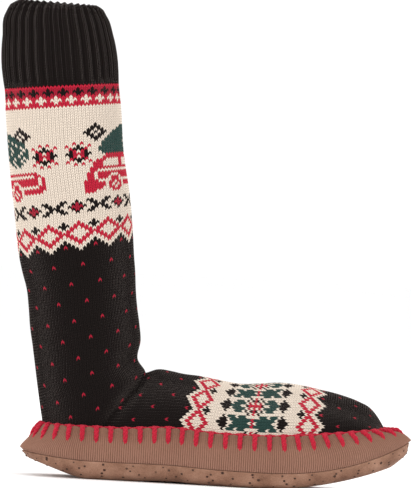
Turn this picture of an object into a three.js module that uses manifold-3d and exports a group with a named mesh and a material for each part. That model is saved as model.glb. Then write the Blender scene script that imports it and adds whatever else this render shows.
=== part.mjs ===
// Slipper sock: a tall knitted sock sewn into a soft moccasin sole with a red blanket stitch.
// Millimetres, +Z up, +X towards the toe, symmetric about the XZ plane.
// The origin is on the floor, at the back of the heel's flat spot.
import * as THREE from 'three';
import { mergeVertices } from 'three/addons/utils/BufferGeometryUtils.js';
import Module from 'manifold-3d';

const wasm = await Module();
wasm.setup();

// Driving sizes of the moccasin sole
const HEEL_BACK = -41.5;
const SOLE_LENGTH = 255;
const TOE_TIP = HEEL_BACK + SOLE_LENGTH;
const BALL_X = 118;
const HEEL_X = 3;
const BALL_HALF = 48.5;
const HEEL_HALF = 39.5;

// Where the arch lifts between the two flat spots, and where the heel and the toe start to rise
const ARCH_START = 20;
const ARCH_END = 92;
const HEEL_RISE_START = -3;
const HEEL_RISE_POWER = 1.25;
const TOE_RISE_START = 118;
const WAIST_INSET = 1.5;

// Thickness of each material, and the clearance where two pieces meet
const KNIT_THICK = 2.2;
const RIB_KNIT_THICK = 2.4;
const SUEDE_THICK = 2.2;
const INSOLE_THICK = 4;
const GAP = 0.3;

// The sock
const CUFF_RIBS = 36;
const RIB_DEPTH = 1.3;
const LEG_COLUMNS = 2 * CUFF_RIBS;
const LEG_POWER = 2.35;
const LINING_COLUMNS = 24;
const FOOT_COLUMNS = 10;
const FOOT_LINING_COLUMNS = 6;
const FOOT_BASE = 20;
const FOOT_HEEL_TUCK = 1.5;
const FOOT_TUCK_END = 36;
const SOCK_TUCK = 5;
const END_OVERRUN = 6;

// The blanket stitch
const STITCH_COUNT = 58;
const STITCH_LENGTH = 10;
const YARN_WIDTH = 3.2;
const YARN_THICK = 1.5;
const EDGE_CORD = 2.0;

// How many facets each stretch of the sole's outline has, on one side
const HEEL_STEPS = 8;
const SIDE_STEPS = 10;
const TOE_STEPS = 10;
const RING_STEPS = HEEL_STEPS + SIDE_STEPS + TOE_STEPS;
const OUTLINE_POWER = 2.3;

// Rings of the sole from the stitched top edge down to the floor.
// back, toe: ends along X; heelHalf, ballHalf: half widths; the z columns are heights at the heel,
// added at the heel's end, added at the waist, at the ball and at the toe; rise: how late the toe lifts.
const SOLE_RINGS = {
  edge: {
    back: -27.5, toe: 196, heelHalf: 34.5, ballHalf: 41,
    zHeel: 33.5, zBack: 0, zWaist: 2, zBall: 33.5, zToe: 41.3, rise: 1.3,
  },
  swell: {
    back: -34.6, toe: 207, heelHalf: 37.5, ballHalf: 46,
    zHeel: 27, zBack: 0, zWaist: 1.5, zBall: 27, zToe: 40.5, rise: 1.6,
  },
  bulge: {
    back: HEEL_BACK, toe: TOE_TIP, heelHalf: HEEL_HALF, ballHalf: BALL_HALF,
    zHeel: 19, zBack: 0, zWaist: 1, zBall: 19, zToe: 36, rise: 1.9,
  },
  seam: {
    back: -40.3, toe: 212.8, heelHalf: 38, ballHalf: 47,
    zHeel: 12, zBack: 4, zWaist: 0.8, zBall: 10.5, zToe: 34, rise: 2.3,
  },
  turn: {
    back: -36.5, toe: 210.8, heelHalf: 32.5, ballHalf: 42.5,
    zHeel: 3.2, zBack: 8.3, zWaist: 1, zBall: 2.4, zToe: 25.5, rise: 2.1,
  },
  floor: {
    back: -26, toe: 200, heelHalf: 25, ballHalf: 35,
    zHeel: 0, zBack: 9, zWaist: 1.2, zBall: 0, zToe: 17.3, rise: 1.85,
  },
};

// Knitted courses of the leg, from the cuff's rim down to the heel. Each course is a tilted closed loop
// through its back point and its front point, with a half width across.
const LEG_COURSES = [
  { name: 'rim', backX: -57, backZ: 309.5, frontX: -7, frontZ: 308, half: 24.5 },
  { name: 'shoulder', backX: -65.5, backZ: 303, frontX: -0.5, frontZ: 303.5, half: 32 },
  { name: 'cuff_top', backX: -67.5, backZ: 286, frontX: 5, frontZ: 290.5, half: 35 },
  { name: 'cuff_middle', backX: -67.5, backZ: 272, frontX: 8, frontZ: 279, half: 36 },
  { name: 'rib_end', backX: -65, backZ: 255, frontX: 10, frontZ: 262.5, half: 36.2 },
  { name: 'cuff_foot', backX: -64.2, backZ: 251.5, frontX: 10.2, frontZ: 259, half: 36 },
  { name: 'band', backX: -63, backZ: 239, frontX: 12, frontZ: 247.5, half: 36.8 },
  { name: 'calf', backX: -58.5, backZ: 202.5, frontX: 16, frontZ: 213, half: 37 },
  { name: 'shin', backX: -53.5, backZ: 171, frontX: 21.5, frontZ: 185, half: 36.5 },
  { name: 'chevron', backX: -49, backZ: 142.5, frontX: 25, frontZ: 158, half: 36 },
  { name: 'back_fold', backX: -46.5, backZ: 133, frontX: 26, frontZ: 148, half: 35.5 },
  { name: 'back_dip', backX: -42.8, backZ: 121, frontX: 27.5, frontZ: 136, half: 35 },
  { name: 'low_leg', backX: -41, backZ: 109.5, frontX: 28.5, frontZ: 124, half: 34.6 },
  { name: 'over_ankle', backX: -39.3, backZ: 96, frontX: 30, frontZ: 113, half: 34.5 },
  { name: 'front_fold', backX: -37, backZ: 84, frontX: 32, frontZ: 102, half: 34.6 },
  { name: 'ankle', backX: -34.8, backZ: 71.4, frontX: 33.3, frontZ: 91.7, half: 35 },
  { name: 'front_pinch', backX: -32.4, backZ: 57.5, frontX: 32, frontZ: 79, half: 35.5 },
  { name: 'ankle_roll', backX: -30.1, backZ: 45, frontX: 38, frontZ: 70.5, half: 36 },
  { name: 'heel', backX: -27.6, backZ: 31.5, frontX: 37, frontZ: 56, half: 35.4 },
  { name: 'heel_hem', backX: -26.8, backZ: 18, frontX: 34, frontZ: 40, half: 34 },
];
const CUFF_COURSES = 5;

// Sections of the foot along X, with the height of the instep line and the roundness across.
const FOOT_SECTIONS = [
  { x: 2, top: 70, power: 1.9 },
  { x: 20, top: 71, power: 1.9 },
  { x: 37, top: 70.5, power: 1.9 },
  { x: 47, top: 73.3, power: 1.9 },
  { x: 54, top: 72.6, power: 1.95 },
  { x: 62, top: 71.2, power: 2 },
  { x: 74, top: 70.2, power: 2 },
  { x: 87, top: 68.2, power: 2 },
  { x: 100, top: 66.6, power: 2 },
  { x: 113, top: 67.4, power: 2 },
  { x: 126, top: 68.6, power: 2.05 },
  { x: 139, top: 67.8, power: 2.1 },
  { x: 152, top: 65.6, power: 2.1 },
  { x: 166, top: 62.8, power: 2.1 },
  { x: 179, top: 58.7, power: 2.1 },
  { x: 186, top: 55.2, power: 2.1 },
  { x: 191, top: 50, power: 2.1 },
  { x: 194, top: 45.6, power: 2.1 },
  { x: 195.7, top: 42.6, power: 2.1 },
];

const clamp01 = (t) => Math.min(1, Math.max(0, t));
const mix = (a, b, t) => a + (b - a) * t;
const smooth = (t) => clamp01(t) ** 2 * (3 - 2 * clamp01(t));

// Height of a sole ring at x: level from heel to ball, lifted at the heel's end, the arch and the toe.
function ringHeight(ring, x) {
  const end = clamp01((HEEL_RISE_START - x) / (HEEL_RISE_START - ring.back)) ** HEEL_RISE_POWER;
  const along = smooth((x - HEEL_X) / (BALL_X - HEEL_X));
  const arch = Math.sin(Math.PI * clamp01((x - ARCH_START) / (ARCH_END - ARCH_START))) ** 2;
  const toe = clamp01((x - TOE_RISE_START) / (ring.toe - TOE_RISE_START)) ** ring.rise;
  const level = mix(ring.zHeel, ring.zBall, along) + ring.zBack * end;
  return level + ring.zWaist * arch + (ring.zToe - ring.zBall) * toe;
}

// Half width of a sole ring at x: a round heel, a waist and a round toe.
function ringHalf(ring, x) {
  const round = (t) => (1 - clamp01(t) ** OUTLINE_POWER) ** (1 / OUTLINE_POWER);
  if (x < HEEL_X) return ring.heelHalf * round((HEEL_X - x) / (HEEL_X - ring.back));
  if (x > BALL_X) return ring.ballHalf * round((x - BALL_X) / (ring.toe - BALL_X));
  const t = (x - HEEL_X) / (BALL_X - HEEL_X);
  return mix(ring.heelHalf, ring.ballHalf, smooth(t)) - WAIST_INSET * Math.sin(Math.PI * t) ** 2;
}

// The same ring drawn in by inset, so that a wall's inner face follows its outer one.
function insetRing(ring, inset) {
  return {
    ...ring,
    back: ring.back + inset,
    toe: ring.toe - inset,
    heelHalf: ring.heelHalf - inset,
    ballHalf: ring.ballHalf - inset,
  };
}

// A station along a ring, counted in steps from the heel's end to the toe's end. Steps lie close
// together round both ends, and the same step is the same place on every ring.
function stationAt(ring, step) {
  const quarter = Math.PI / 2;
  if (step < HEEL_STEPS) {
    return HEEL_X - (HEEL_X - ring.back) * Math.cos((step / HEEL_STEPS) * quarter);
  }
  const side = (step - HEEL_STEPS) / SIDE_STEPS;
  if (side < 1) return mix(HEEL_X, BALL_X, side);
  const toe = (step - HEEL_STEPS - SIDE_STEPS) / TOE_STEPS;
  return BALL_X + (ring.toe - BALL_X) * Math.sin(clamp01(toe) * quarter);
}

// A point of a ring on the -Y side.
function ringPoint(ring, step, lift = 0) {
  const x = stationAt(ring, step);
  return new THREE.Vector3(x, -ringHalf(ring, x), ringHeight(ring, x) + lift);
}

// A loop that starts at the heel's end, runs along -Y to the toe and comes back along +Y.
function mirroredLoop(side) {
  const back = side.slice(1, -1).reverse();
  return [...side, ...back.map((p) => new THREE.Vector3(p.x, -p.y, p.z))];
}

function ringLoop(ring, lift = 0) {
  const side = [];
  for (let step = 0; step <= RING_STEPS; step += 1) side.push(ringPoint(ring, step, lift));
  side[0].y = 0;
  side[RING_STEPS].y = 0;
  return mirroredLoop(side);
}

// Triangles between two loops of equal length.
function band(first, second, count, triangles) {
  for (let i = 0; i < count; i += 1) {
    const j = (i + 1) % count;
    triangles.push(first + i, first + j, second + j, first + i, second + j, second + i);
  }
}

// A flat cap across a mirrored loop, in strips from side to side.
function cap(first, count, flip, triangles) {
  const add = (a, b, c) => triangles.push(first + a, first + (flip ? c : b), first + (flip ? b : c));
  const half = count / 2;
  add(0, 1, count - 1);
  for (let i = 1; i < half - 1; i += 1) {
    add(i, i + 1, count - i - 1);
    add(i, count - i - 1, count - i);
  }
  add(half - 1, half, half + 1);
}

// A manifold solid from points and triangles, turned so that its faces point out.
function solidFrom(points, triangles) {
  const geometry = new THREE.BufferGeometry().setFromPoints(points);
  geometry.setIndex(triangles);
  const merged = mergeVertices(geometry, 1e-4);
  const at = (i) => new THREE.Vector3().fromBufferAttribute(merged.attributes.position, i);
  const index = Array.from(merged.index.array);
  const faces = [];
  let volume = 0;
  for (let i = 0; i < index.length; i += 3) {
    const [a, b, c] = index.slice(i, i + 3);
    if (a !== b && b !== c && c !== a) {
      faces.push([a, b, c]);
      volume += at(a).dot(at(b).cross(at(c)));
    }
  }
  const outward = volume < 0 ? faces.map(([a, b, c]) => [a, c, b]) : faces;
  return new wasm.Manifold(
    new wasm.Mesh({
      numProp: 3,
      vertProperties: new Float32Array(merged.attributes.position.array),
      triVerts: new Uint32Array(outward.flat()),
    }),
  );
}

// A closed solid from a stack of mirrored loops, with a cap at each end.
function stack(loops) {
  const count = loops[0].length;
  const triangles = [];
  for (let k = 0; k + 1 < loops.length; k += 1) band(k * count, (k + 1) * count, count, triangles);
  cap(0, count, true, triangles);
  cap((loops.length - 1) * count, count, false, triangles);
  return solidFrom(loops.flat(), triangles);
}

// A closed hoop from loops that go round a wall and come back to the first one.
function hoop(loops) {
  const count = loops[0].length;
  const triangles = [];
  loops.forEach((_, k) => band(k * count, ((k + 1) % loops.length) * count, count, triangles));
  return solidFrom(loops.flat(), triangles);
}

// One course of the leg as a loop, drawn in by inset. Ribs sink every second column of the cuff.
function courseLoop(course, inset, columns, ribDepth) {
  const back = new THREE.Vector3(course.backX, 0, course.backZ);
  const front = new THREE.Vector3(course.frontX, 0, course.frontZ);
  const centre = back.clone().add(front).multiplyScalar(0.5);
  const along = front.clone().sub(back).normalize();
  const depth = front.distanceTo(back) / 2;
  const side = [];
  for (let i = 0; i <= columns / 2; i += 1) {
    const angle = (2 * Math.PI * i) / columns;
    const sink = inset + (i % 2 ? ribDepth : 0);
    const round = (v) => Math.sign(v) * Math.abs(v) ** (2 / LEG_POWER);
    const point = centre.clone().addScaledVector(along, -(depth - sink) * round(Math.cos(angle)));
    point.y = i === columns / 2 ? 0 : -(course.half - sink) * round(Math.sin(angle));
    side.push(point);
  }
  return mirroredLoop(side);
}

// The leg as one solid form. With an overrun it runs straight on past both ends, to cut them open.
function legForm(inset, columns, ribDepth, overrun) {
  const loops = LEG_COURSES.map((course, k) => {
    return courseLoop(course, inset, columns, k < CUFF_COURSES ? ribDepth : 0);
  });
  if (overrun > 0) {
    const moved = (loop, lift) => loop.map((p) => p.clone().setZ(p.z + lift));
    loops.unshift(moved(loops[0], overrun));
    loops.push(moved(loops[loops.length - 1], -overrun));
  }
  return stack(loops.reverse());
}

// One section across the foot: straight sides below the stitched edge, and a round instep above it.
function footLoop(section, inset, base, columns) {
  const edge = insetRing(SOLE_RINGS.edge, inset);
  const tuck = FOOT_HEEL_TUCK * (1 - smooth(section.x / FOOT_TUCK_END));
  const x = section.x - inset * smooth((section.x - BALL_X) / (TOE_TIP - BALL_X));
  const half = Math.max(ringHalf(edge, Math.min(x, edge.toe - GAP)) - tuck, GAP);
  const low = ringHeight(SOLE_RINGS.edge, section.x);
  const high = Math.max(section.top - inset, low + GAP);
  const side = [new THREE.Vector3(x, 0, base), new THREE.Vector3(x, -half, base)];
  for (let i = 0; i <= columns; i += 1) {
    const angle = (i / columns) * (Math.PI / 2);
    const across = i === columns ? 0 : Math.cos(angle) ** (2 / section.power);
    const up = Math.sin(angle) ** (2 / section.power);
    side.push(new THREE.Vector3(x, -half * across, mix(low, high, up)));
  }
  return mirroredLoop(side);
}

function footForm(inset, base, columns) {
  return stack(FOOT_SECTIONS.map((section) => footLoop(section, inset, base, columns)));
}

// Leg and foot joined, which leaves the crease where the leg folds over the instep.
function sockForm(inset) {
  return legForm(inset, LEG_COLUMNS, RIB_DEPTH, 0).add(footForm(inset, FOOT_BASE, FOOT_COLUMNS));
}

// Everything below the sock's hem, as a side profile swept across the shoe.
function belowHem() {
  const reach = 30;
  const width = 2 * (BALL_HALF + reach);
  const start = HEEL_BACK - reach;
  const steps = 24;
  const shape = new THREE.Shape();
  shape.moveTo(start, -reach);
  shape.lineTo(TOE_TIP + reach, -reach);
  for (let i = 0; i <= steps; i += 1) {
    const x = mix(TOE_TIP + reach, start, i / steps);
    shape.lineTo(x, ringHeight(SOLE_RINGS.edge, x) - SOCK_TUCK);
  }
  shape.closePath();
  const geometry = new THREE.ExtrudeGeometry(shape, { depth: width, bevelEnabled: false });
  geometry.rotateX(Math.PI / 2);
  geometry.translate(0, width / 2, 0);
  return fromGeometry(geometry);
}

function fromGeometry(geometry) {
  geometry.deleteAttribute('normal');
  geometry.deleteAttribute('uv');
  const merged = mergeVertices(geometry, 1e-4);
  const points = [];
  for (let i = 0; i < merged.attributes.position.count; i += 1) {
    points.push(new THREE.Vector3().fromBufferAttribute(merged.attributes.position, i));
  }
  return solidFrom(points, Array.from(merged.index.array));
}

// The knitted sock: cuff, leg and foot in one hollow piece, open at the collar and underneath.
function upperSolid() {
  const lining = legForm(KNIT_THICK, LINING_COLUMNS, 0, END_OVERRUN).add(
    footForm(KNIT_THICK, FOOT_BASE - END_OVERRUN, FOOT_LINING_COLUMNS),
  );
  return sockForm(0).subtract(lining).subtract(belowHem());
}

// The rib-knit side of the sole, from the stitched edge down to the seam. Its top is cut to the sock.
function sideWallSolid() {
  const { edge, swell, bulge, seam } = SOLE_RINGS;
  const lipInset = 0.6;
  const outer = [
    ringLoop(insetRing(edge, -RIB_KNIT_THICK)),
    ringLoop(swell),
    ringLoop(bulge),
    ringLoop(seam, GAP / 2),
  ];
  const inner = [
    ringLoop(insetRing(seam, RIB_KNIT_THICK), GAP / 2),
    ringLoop(insetRing(bulge, RIB_KNIT_THICK)),
    ringLoop(insetRing(swell, RIB_KNIT_THICK), -RIB_KNIT_THICK / 2),
    ringLoop(insetRing(edge, lipInset), -RIB_KNIT_THICK / 2),
  ];
  return hoop([...outer, ...inner]).subtract(sockForm(-GAP));
}

// The suede outsole: a shallow dish with flat spots under the heel and the ball, sewn on at the seam.
function outsoleSolid() {
  const { seam, turn, floor } = SOLE_RINGS;
  return stack([
    ringLoop(floor),
    ringLoop(turn),
    ringLoop(seam, -GAP / 2),
    ringLoop(insetRing(seam, SUEDE_THICK), -GAP / 2),
    ringLoop(insetRing(turn, SUEDE_THICK), SUEDE_THICK / 2),
    ringLoop(insetRing(floor, SUEDE_THICK / 2), SUEDE_THICK),
  ]);
}

// The padded insole, lying on the outsole inside the sock.
function insoleSolid() {
  const seat = SUEDE_THICK + GAP;
  const bottom = insetRing(SOLE_RINGS.floor, SUEDE_THICK);
  const top = insetRing(SOLE_RINGS.floor, -SUEDE_THICK / 2);
  return stack([
    ringLoop(bottom, seat),
    ringLoop(top, seat + INSOLE_THICK / 2),
    ringLoop(bottom, seat + INSOLE_THICK),
  ]);
}

// Steps along one side of the stitched edge, at equal distances, for half of the stitches.
function stitchSteps(rim) {
  const samples = 40 * RING_STEPS;
  const stepOf = (i) => (i / samples) * RING_STEPS;
  const lengths = [0];
  for (let i = 1; i <= samples; i += 1) {
    const piece = ringPoint(rim, stepOf(i)).distanceTo(ringPoint(rim, stepOf(i - 1)));
    lengths.push(lengths[i - 1] + piece);
  }
  const pitch = (2 * lengths[samples]) / STITCH_COUNT;
  const steps = [];
  for (let k = 0; k < STITCH_COUNT / 2; k += 1) {
    steps.push(stepOf(lengths.findIndex((length) => length >= (k + 0.5) * pitch)));
  }
  return steps;
}

// One stitch: a flat bar of yarn from the edge cord, over the lip and down the outer face of the wall.
function stitchBar(rim, step, mirror) {
  const { edge, swell, bulge } = SOLE_RINGS;
  const nearby = 0.05;
  const ahead = ringPoint(rim, step + nearby).sub(ringPoint(rim, step - nearby)).normalize();
  const lip = ringPoint(edge, step).lerp(ringPoint(rim, step), 0.5);
  const knots = [lip, ringPoint(rim, step), ringPoint(swell, step), ringPoint(bulge, step)];
  const left = STITCH_LENGTH - knots[1].distanceTo(knots[2]);
  knots[3] = knots[2].clone().lerp(knots[3], clamp01(left / knots[2].distanceTo(knots[3])));
  const faces = [0, 1, 2].map((k) => {
    const down = knots[k + 1].clone().sub(knots[k]);
    return new THREE.Vector3().crossVectors(down, ahead).normalize();
  });
  const loops = knots.map((knot, k) => {
    const above = faces[Math.max(k - 1, 0)];
    const below = faces[Math.min(k, 2)];
    const out = above.clone().add(below).normalize();
    out.divideScalar(out.dot(below));
    const corner = (along, depth) => {
      const point = knot.clone().addScaledVector(ahead, along).addScaledVector(out, depth);
      return mirror ? point.setY(-point.y) : point;
    };
    const half = YARN_WIDTH / 2;
    const top = GAP + YARN_THICK;
    return [corner(-half, GAP), corner(half, GAP), corner(half, top), corner(-half, top)];
  });
  return stack(loops);
}

// The blanket stitch: a cord along the top of the wall with a bar of yarn at each stitch.
function blanketStitchSolid() {
  const { edge } = SOLE_RINGS;
  const rim = insetRing(edge, -RIB_KNIT_THICK);
  const near = insetRing(edge, -GAP);
  const far = insetRing(edge, -GAP - EDGE_CORD);
  const top = GAP + EDGE_CORD;
  let yarn = hoop([ringLoop(near, GAP), ringLoop(far, GAP), ringLoop(far, top), ringLoop(near, top)]);
  stitchSteps(rim).forEach((step) => {
    yarn = yarn.add(stitchBar(rim, step, false)).add(stitchBar(rim, step, true));
  });
  return yarn.subtract(sockForm(-GAP));
}

const group = new THREE.Group();
group.name = 'slipper_sock';

function addPiece(name, solid, look) {
  const mesh = solid.getMesh();
  const geometry = new THREE.BufferGeometry();
  geometry.setAttribute('position', new THREE.BufferAttribute(new Float32Array(mesh.vertProperties), 3));
  geometry.setIndex(Array.from(mesh.triVerts));
  geometry.computeVertexNormals();
  const piece = new THREE.Mesh(geometry, new THREE.MeshStandardMaterial({ metalness: 0, ...look }));
  piece.name = name;
  group.add(piece);
}

addPiece('upper', upperSolid(), { color: 0x1c1a19, roughness: 0.95 });
addPiece('side_wall', sideWallSolid(), { color: 0x9a705c, roughness: 0.92 });
addPiece('outsole', outsoleSolid(), { color: 0xa87f66, roughness: 0.9 });
addPiece('insole', insoleSolid(), { color: 0x8c7060, roughness: 0.95 });
addPiece('blanket_stitch', blanketStitchSolid(), { color: 0xb3202f, roughness: 0.9 });

export default group;
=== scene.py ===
import math

import bmesh
import bpy
import numpy as np
from mathutils import Matrix, Vector


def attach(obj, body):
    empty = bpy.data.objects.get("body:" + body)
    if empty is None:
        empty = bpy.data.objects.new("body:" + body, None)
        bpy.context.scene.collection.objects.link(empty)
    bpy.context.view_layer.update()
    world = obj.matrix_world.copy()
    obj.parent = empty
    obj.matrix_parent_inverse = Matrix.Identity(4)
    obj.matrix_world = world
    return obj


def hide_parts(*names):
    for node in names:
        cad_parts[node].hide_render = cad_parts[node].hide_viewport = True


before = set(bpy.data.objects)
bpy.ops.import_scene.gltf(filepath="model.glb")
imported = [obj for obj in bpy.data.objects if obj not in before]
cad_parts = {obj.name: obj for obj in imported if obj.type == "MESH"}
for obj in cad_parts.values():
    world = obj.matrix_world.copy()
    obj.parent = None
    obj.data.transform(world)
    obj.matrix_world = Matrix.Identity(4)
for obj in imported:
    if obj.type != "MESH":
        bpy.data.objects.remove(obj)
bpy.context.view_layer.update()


# Suede outsole
# One piece of soft split suede, cut to the sole's outline and turned up all round to meet the knit wall.
# It lies flat under the heel and under the ball, and lifts a little at the arch and at both ends.
MM = 0.001
HEEL_X, BALL_X = 3.0, 118.0
ARCH_START, ARCH_END = 20.0, 92.0
HEEL_RISE_START, HEEL_RISE_POWER = 4.0, 1.5
TOE_RISE_START = 118.0
WAIST_INSET = 1.5
OUTLINE_POWER = 2.3
HEEL_PART, SIDE_PART, TOE_PART = 8, 10, 10
RING_SAMPLES = 8001
RING_COLUMNS = (
    "back", "toe", "heel_half", "ball_half", "z_heel", "z_back", "z_waist", "z_ball", "z_toe", "rise",
)
SOLE_RINGS = {
    "edge": (-27.5, 196.0, 34.5, 41.0, 33.5, 0.0, 2.0, 33.5, 41.3, 1.3),
    "swell": (-34.6, 207.0, 37.5, 46.0, 27.0, 0.0, 1.5, 27.0, 40.5, 1.6),
    "bulge": (-41.5, 213.5, 39.5, 48.5, 19.0, 0.0, 1.0, 19.0, 36.0, 1.9),
    "seam": (-40.3, 212.8, 38.0, 47.0, 12.0, 4.0, 0.8, 10.5, 34.0, 2.3),
    "turn": (-36.5, 210.8, 32.5, 42.5, 3.2, 8.3, 1.0, 2.4, 25.5, 2.1),
    "floor": (-26.0, 200.0, 25.0, 35.0, 0.0, 9.0, 1.2, 0.0, 17.3, 1.85),
}
SUEDE_THICK = 2.2
SEAM_GAP = 0.15
RIM_DIP = 0.5
TURN_SWELL = 0.9
FLAT_FLARE, FLAT_LIFT, FLAT_INSET = 2.0, 0.25, 1.5
SUEDE_COLUMNS = 360
RIM_ROW, FLAT_ROW, RIM_TO_FLAT_STEPS = 3, 9, 25
NAP_SHARE = 0.35
SUEDE_TONES = (
    (0.34, (0.14, 0.066, 0.042)),
    (0.5, (0.26, 0.137, 0.09)),
    (0.66, (0.37, 0.21, 0.145)),
)


def smooth_step(t):
    t = np.clip(t, 0.0, 1.0)
    return t * t * (3.0 - 2.0 * t)


def sole_ring(name, inset=0.0):
    ring = dict(zip(RING_COLUMNS, SOLE_RINGS[name]))
    ring["back"] += inset
    ring["toe"] -= inset
    ring["heel_half"] -= inset
    ring["ball_half"] -= inset
    return ring


def ring_height(ring, x):
    end = np.clip((HEEL_RISE_START - x) / (HEEL_RISE_START - ring["back"]), 0, 1) ** HEEL_RISE_POWER
    along = smooth_step((x - HEEL_X) / (BALL_X - HEEL_X))
    arch = np.sin(np.pi * np.clip((x - ARCH_START) / (ARCH_END - ARCH_START), 0, 1)) ** 2
    toe = np.clip((x - TOE_RISE_START) / (ring["toe"] - TOE_RISE_START), 0, 1) ** ring["rise"]
    level = ring["z_heel"] + (ring["z_ball"] - ring["z_heel"]) * along + ring["z_back"] * end
    return level + ring["z_waist"] * arch + (ring["z_toe"] - ring["z_ball"]) * toe


def ring_half(ring, x):
    heel = np.clip((HEEL_X - x) / (HEEL_X - ring["back"]), 0, 1)
    toe = np.clip((x - BALL_X) / (ring["toe"] - BALL_X), 0, 1)
    along = np.clip((x - HEEL_X) / (BALL_X - HEEL_X), 0, 1)
    width = ring["heel_half"] + (ring["ball_half"] - ring["heel_half"]) * smooth_step(along)
    width = width - WAIST_INSET * np.sin(np.pi * along) ** 2
    round_end = (1 - heel**OUTLINE_POWER) * (1 - toe**OUTLINE_POWER)
    return width * round_end ** (1 / OUTLINE_POWER)


def ring_loop(ring, turns, lift=0.0):
    """Points of a ring. Turn 0 is the heel's back and 0.5 the toe's tip, and the -Y side comes first."""
    total = HEEL_PART + SIDE_PART + TOE_PART
    step = total * (1 - np.abs(1 - 2 * turns))
    heel = HEEL_X - (HEEL_X - ring["back"]) * np.cos(step / HEEL_PART * np.pi / 2)
    side = HEEL_X + (BALL_X - HEEL_X) * (step - HEEL_PART) / SIDE_PART
    tip = np.clip((step - HEEL_PART - SIDE_PART) / TOE_PART, 0, 1)
    toe = BALL_X + (ring["toe"] - BALL_X) * np.sin(tip * np.pi / 2)
    x = np.where(step < HEEL_PART, heel, np.where(step < HEEL_PART + SIDE_PART, side, toe))
    y = ring_half(ring, x) * np.where(turns < 0.5, -1, 1)
    return np.stack([x, y, ring_height(ring, x) + lift], axis=-1)


def path_lengths(points):
    """The length of a line of points, from its start to each point."""
    steps = np.linalg.norm(np.diff(points, axis=0), axis=1)
    return np.concatenate([[0], np.cumsum(steps)])


def even_turns(ring, shares):
    """Turns that lie at the given shares of a ring's length."""
    fine = np.linspace(0, 1, RING_SAMPLES)
    length = path_lengths(ring_loop(ring, fine))
    return np.interp(np.asarray(shares) * length[-1], length, fine)


def curve_through(knots, values, at):
    """Values between knots, on a smooth curve through every knot."""
    knots, values, at = (np.asarray(a, float) for a in (knots, values, at))
    slopes = np.gradient(values, knots, axis=0)
    k = np.clip(np.searchsorted(knots, at, side="right") - 1, 0, len(knots) - 2)
    column = at.shape + (1,) * (values.ndim - 1)
    width = (knots[k + 1] - knots[k]).reshape(column)
    t = ((at - knots[k]) / (knots[k + 1] - knots[k])).reshape(column)
    ends = (1 + 2 * t) * (1 - t) ** 2 * values[k] + t * t * (3 - 2 * t) * values[k + 1]
    lean = t * (1 - t) ** 2 * slopes[k] + t * t * (t - 1) * slopes[k + 1]
    return ends + width * lean


def sheet_faces(rows, columns, wrap):
    number = np.arange(rows * columns).reshape(rows, columns)
    near = number if wrap else number[:, :-1]
    far = np.roll(number, -1, axis=1) if wrap else number[:, 1:]
    return np.stack([near[:-1], near[1:], far[1:], far[:-1]], axis=-1).reshape(-1, 4)


def add_object(name, points, faces, material):
    mesh = bpy.data.meshes.new(name)
    mesh.from_pydata((np.asarray(points) * MM).reshape(-1, 3).tolist(), [], np.asarray(faces).tolist())
    mesh.shade_smooth()
    mesh.materials.append(material)
    piece = bpy.data.objects.new(name, mesh)
    bpy.context.scene.collection.objects.link(piece)
    return piece


def weld(piece, distance):
    made = bmesh.new()
    made.from_mesh(piece.data)
    bmesh.ops.remove_doubles(made, verts=made.verts, dist=distance * MM)
    bmesh.ops.dissolve_degenerate(made, edges=made.edges, dist=distance * MM * 0.1)
    made.to_mesh(piece.data)
    made.free()


def start_material(name, roughness, sheen=0.0):
    material = bpy.data.materials.new(name)
    material.use_nodes = True
    shader = material.node_tree.nodes["Principled BSDF"]
    shader.inputs["Roughness"].default_value = roughness
    shader.inputs["Sheen Weight"].default_value = sheen
    shader.inputs["Sheen Tint"].default_value = (1.0, 0.85, 0.78, 1.0)
    shader.inputs["Specular IOR Level"].default_value = 0.1
    return material, material.node_tree, shader


def add_node(tree, kind, inputs=None, **settings):
    made = tree.nodes.new(kind)
    for key, value in settings.items():
        setattr(made, key, value)
    for key, value in (inputs or {}).items():
        if isinstance(value, bpy.types.NodeSocket):
            tree.links.new(value, made.inputs[key])
        else:
            made.inputs[key].default_value = value
    return made


def math_node(tree, operation, first, second=0.0, third=0.0):
    return add_node(
        tree, "ShaderNodeMath", {0: first, 1: second, 2: third}, operation=operation
    ).outputs[0]


def noise_node(tree, place, scale, detail):
    return add_node(
        tree, "ShaderNodeTexNoise", {"Vector": place, "Scale": scale, "Detail": detail}
    ).outputs["Fac"]


def colour_ramp(tree, factor, stops):
    ramp = add_node(tree, "ShaderNodeValToRGB", {"Fac": factor})
    while len(ramp.color_ramp.elements) < len(stops):
        ramp.color_ramp.elements.new(0.5)
    for element, (place, colour) in zip(ramp.color_ramp.elements, stops):
        element.position = place
        element.color = (*colour, 1)
    return ramp.outputs["Color"]


def set_bump(tree, shader, height, strength, distance):
    bump = add_node(tree, "ShaderNodeBump", {"Height": height, "Strength": strength, "Distance": distance})
    tree.links.new(bump.outputs["Normal"], shader.inputs["Normal"])


def suede_material():
    material, tree, shader = start_material("suede", roughness=0.92, sheen=0.06)
    place = add_node(tree, "ShaderNodeTexCoord").outputs["Object"]
    nap = noise_node(tree, place, scale=1500.0, detail=4.0)
    brushed = noise_node(tree, place, scale=70.0, detail=5.0)
    tone = math_node(tree, "MULTIPLY", brushed, 1 - NAP_SHARE)
    tone = math_node(tree, "MULTIPLY_ADD", nap, NAP_SHARE, tone)
    tree.links.new(colour_ramp(tree, tone, SUEDE_TONES), shader.inputs["Base Color"])
    set_bump(tree, shader, nap, strength=0.5, distance=0.0005)
    return material


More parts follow.
